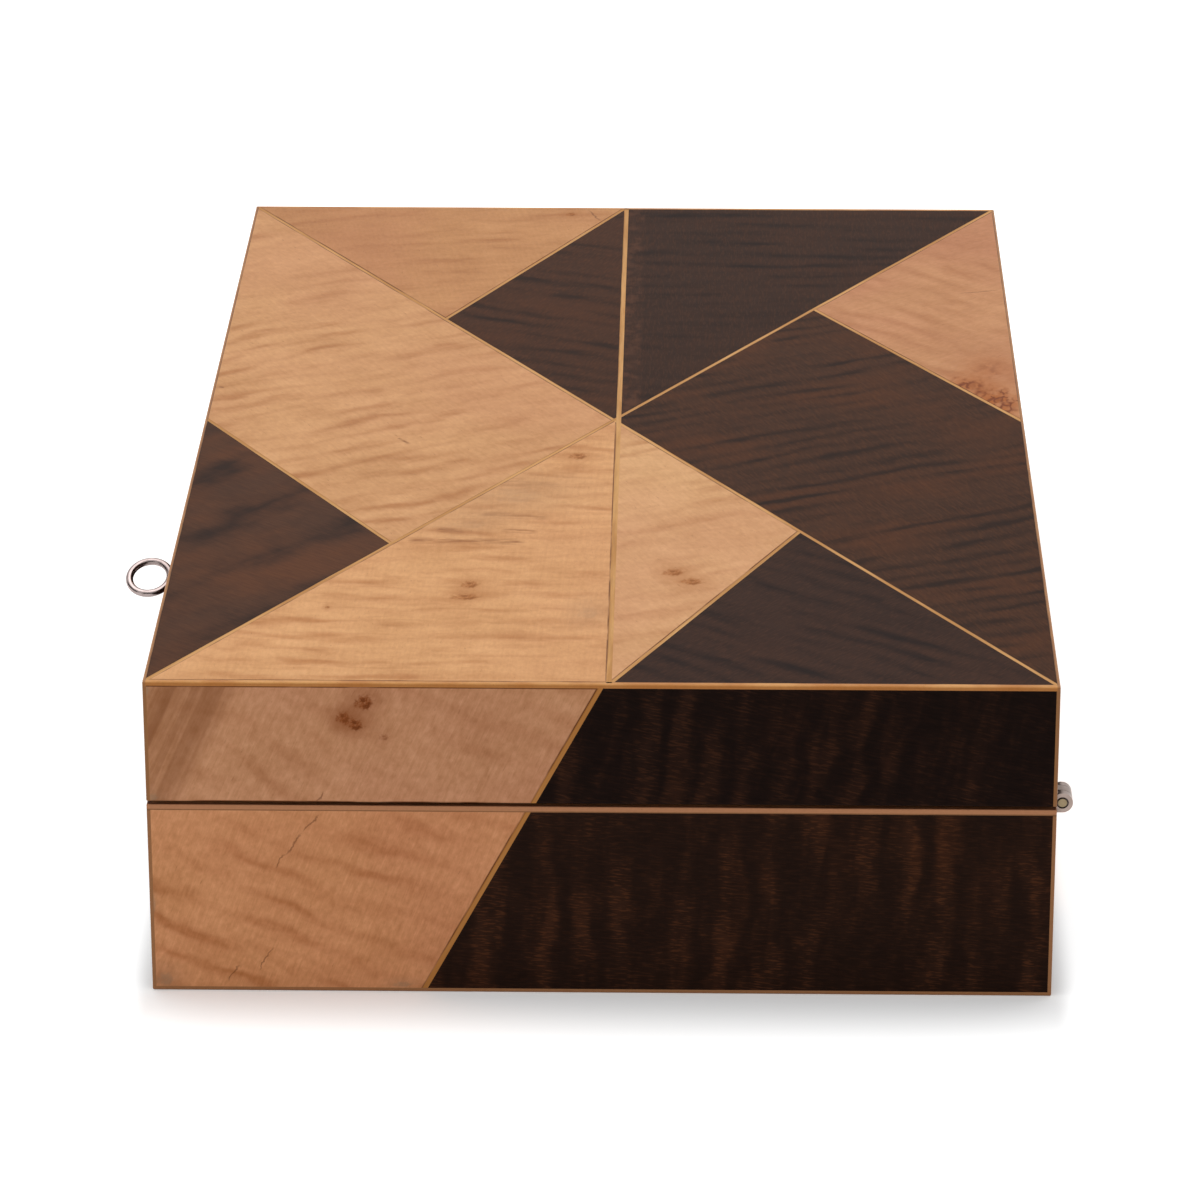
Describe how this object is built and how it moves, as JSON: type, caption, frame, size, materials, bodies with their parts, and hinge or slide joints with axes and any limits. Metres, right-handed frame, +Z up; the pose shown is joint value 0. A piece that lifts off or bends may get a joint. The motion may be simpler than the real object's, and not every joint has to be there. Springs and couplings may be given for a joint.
{
  "type": "hinged inlaid wooden box",
  "caption": "Long low wooden box with a hinged lid, veneered in pale and dark figured wood in a geometric pattern with pale inlaid lines, with a lock, a key and stop hinges.",
  "frame": {"origin": "middle of the underside, on the surface that the box stands on", "axes": "+Z up; +Y from the near short end to the far short end; +X from the lock side to the hinge side"},
  "size_m": [0.3145, 0.46, 0.1045],
  "materials": {
    "pale_veneer": "clear gloss over rippled pale veneer",
    "dark_veneer": "clear gloss over fumed dark veneer",
    "boxwood": "clear gloss",
    "carcass_wood": "sanded",
    "lining": "suede",
    "polished_nickel": "polished",
    "lock_brass": "satin",
    "screw_steel": "turned"
  },
  "bodies": {
    "base": {"base_edging": "boxwood", "base_far_end_dark_veneer": "dark_veneer", "base_far_end_pale_veneer": "pale_veneer", "base_far_end_wall": "carcass_wood", "base_floor": "carcass_wood", "base_floor_pad": "lining", "base_hinge_side_dark_veneer": "dark_veneer", "base_hinge_side_pale_veneer": "pale_veneer", "base_hinge_side_wall": "carcass_wood", "base_lock_side_dark_veneer": "dark_veneer", "base_lock_side_pale_veneer": "pale_veneer", "base_lock_side_wall": "carcass_wood", "base_near_end_dark_veneer": "dark_veneer", "base_near_end_pale_veneer": "pale_veneer", "base_near_end_wall": "carcass_wood", "base_screws": "screw_steel", "base_side_lines": "boxwood", "base_wall_lining": "lining", "far_hinge_base_leaf": "polished_nickel", "hinge_pins": "polished_nickel", "keyhole_escutcheon": "polished_nickel", "lock_case": "lock_brass", "lock_plate": "lock_brass", "near_hinge_base_leaf": "polished_nickel"},
    "lid": {"far_hinge_lid_leaf": "polished_nickel", "lid_edging": "boxwood", "lid_far_end_dark_veneer": "dark_veneer", "lid_far_end_pale_veneer": "pale_veneer", "lid_far_end_wall": "carcass_wood", "lid_hinge_side_dark_veneer": "dark_veneer", "lid_hinge_side_pale_veneer": "pale_veneer", "lid_hinge_side_wall": "carcass_wood", "lid_lock_side_dark_veneer": "dark_veneer", "lid_lock_side_pale_veneer": "pale_veneer", "lid_lock_side_wall": "carcass_wood", "lid_near_end_dark_veneer": "dark_veneer", "lid_near_end_pale_veneer": "pale_veneer", "lid_near_end_wall": "carcass_wood", "lid_screws": "screw_steel", "lid_side_lines": "boxwood", "lid_top_board": "carcass_wood", "lid_top_pad": "lining", "lid_wall_lining": "lining", "link_plate": "lock_brass", "link_staple": "lock_brass", "near_hinge_lid_leaf": "polished_nickel", "top_far_left_pale_veneer": "pale_veneer", "top_far_middle_dark_veneer": "dark_veneer", "top_far_right_dark_veneer": "dark_veneer", "top_hinge_corner_pale_veneer": "pale_veneer", "top_hinge_side_dark_veneer": "dark_veneer", "top_lines": "boxwood", "top_lock_corner_dark_veneer": "dark_veneer", "top_lock_side_pale_veneer": "pale_veneer", "top_near_left_pale_veneer": "pale_veneer", "top_near_middle_pale_veneer": "pale_veneer", "top_near_right_dark_veneer": "dark_veneer"},
    "key": {"key": "polished_nickel"},
    "lock_bolt": {"lock_bolt": "lock_brass"}
  },
  "joints": [
    {"name": "lid_hinge", "type": "hinge", "parent": "base", "child": "lid", "pos_m": [0.1419, 0, 0.0641], "axis": [0, 1, 0], "range_deg": [0, 95]},
    {"name": "key_turn", "type": "hinge", "parent": "base", "child": "key", "pos_m": [-0.132, 0, 0.0479], "axis": [0.9962, 0, 0.0872], "range_deg": [0, 122]},
    {"name": "bolt_slide", "type": "slide", "parent": "base", "child": "lock_bolt", "axis": [0, -1, 0], "range_m": [0, 0.007]}
  ],
  "couplings": [
    {"joint": "key_turn", "follows": "bolt_slide", "rad_per_m": 304.18}
  ]
}
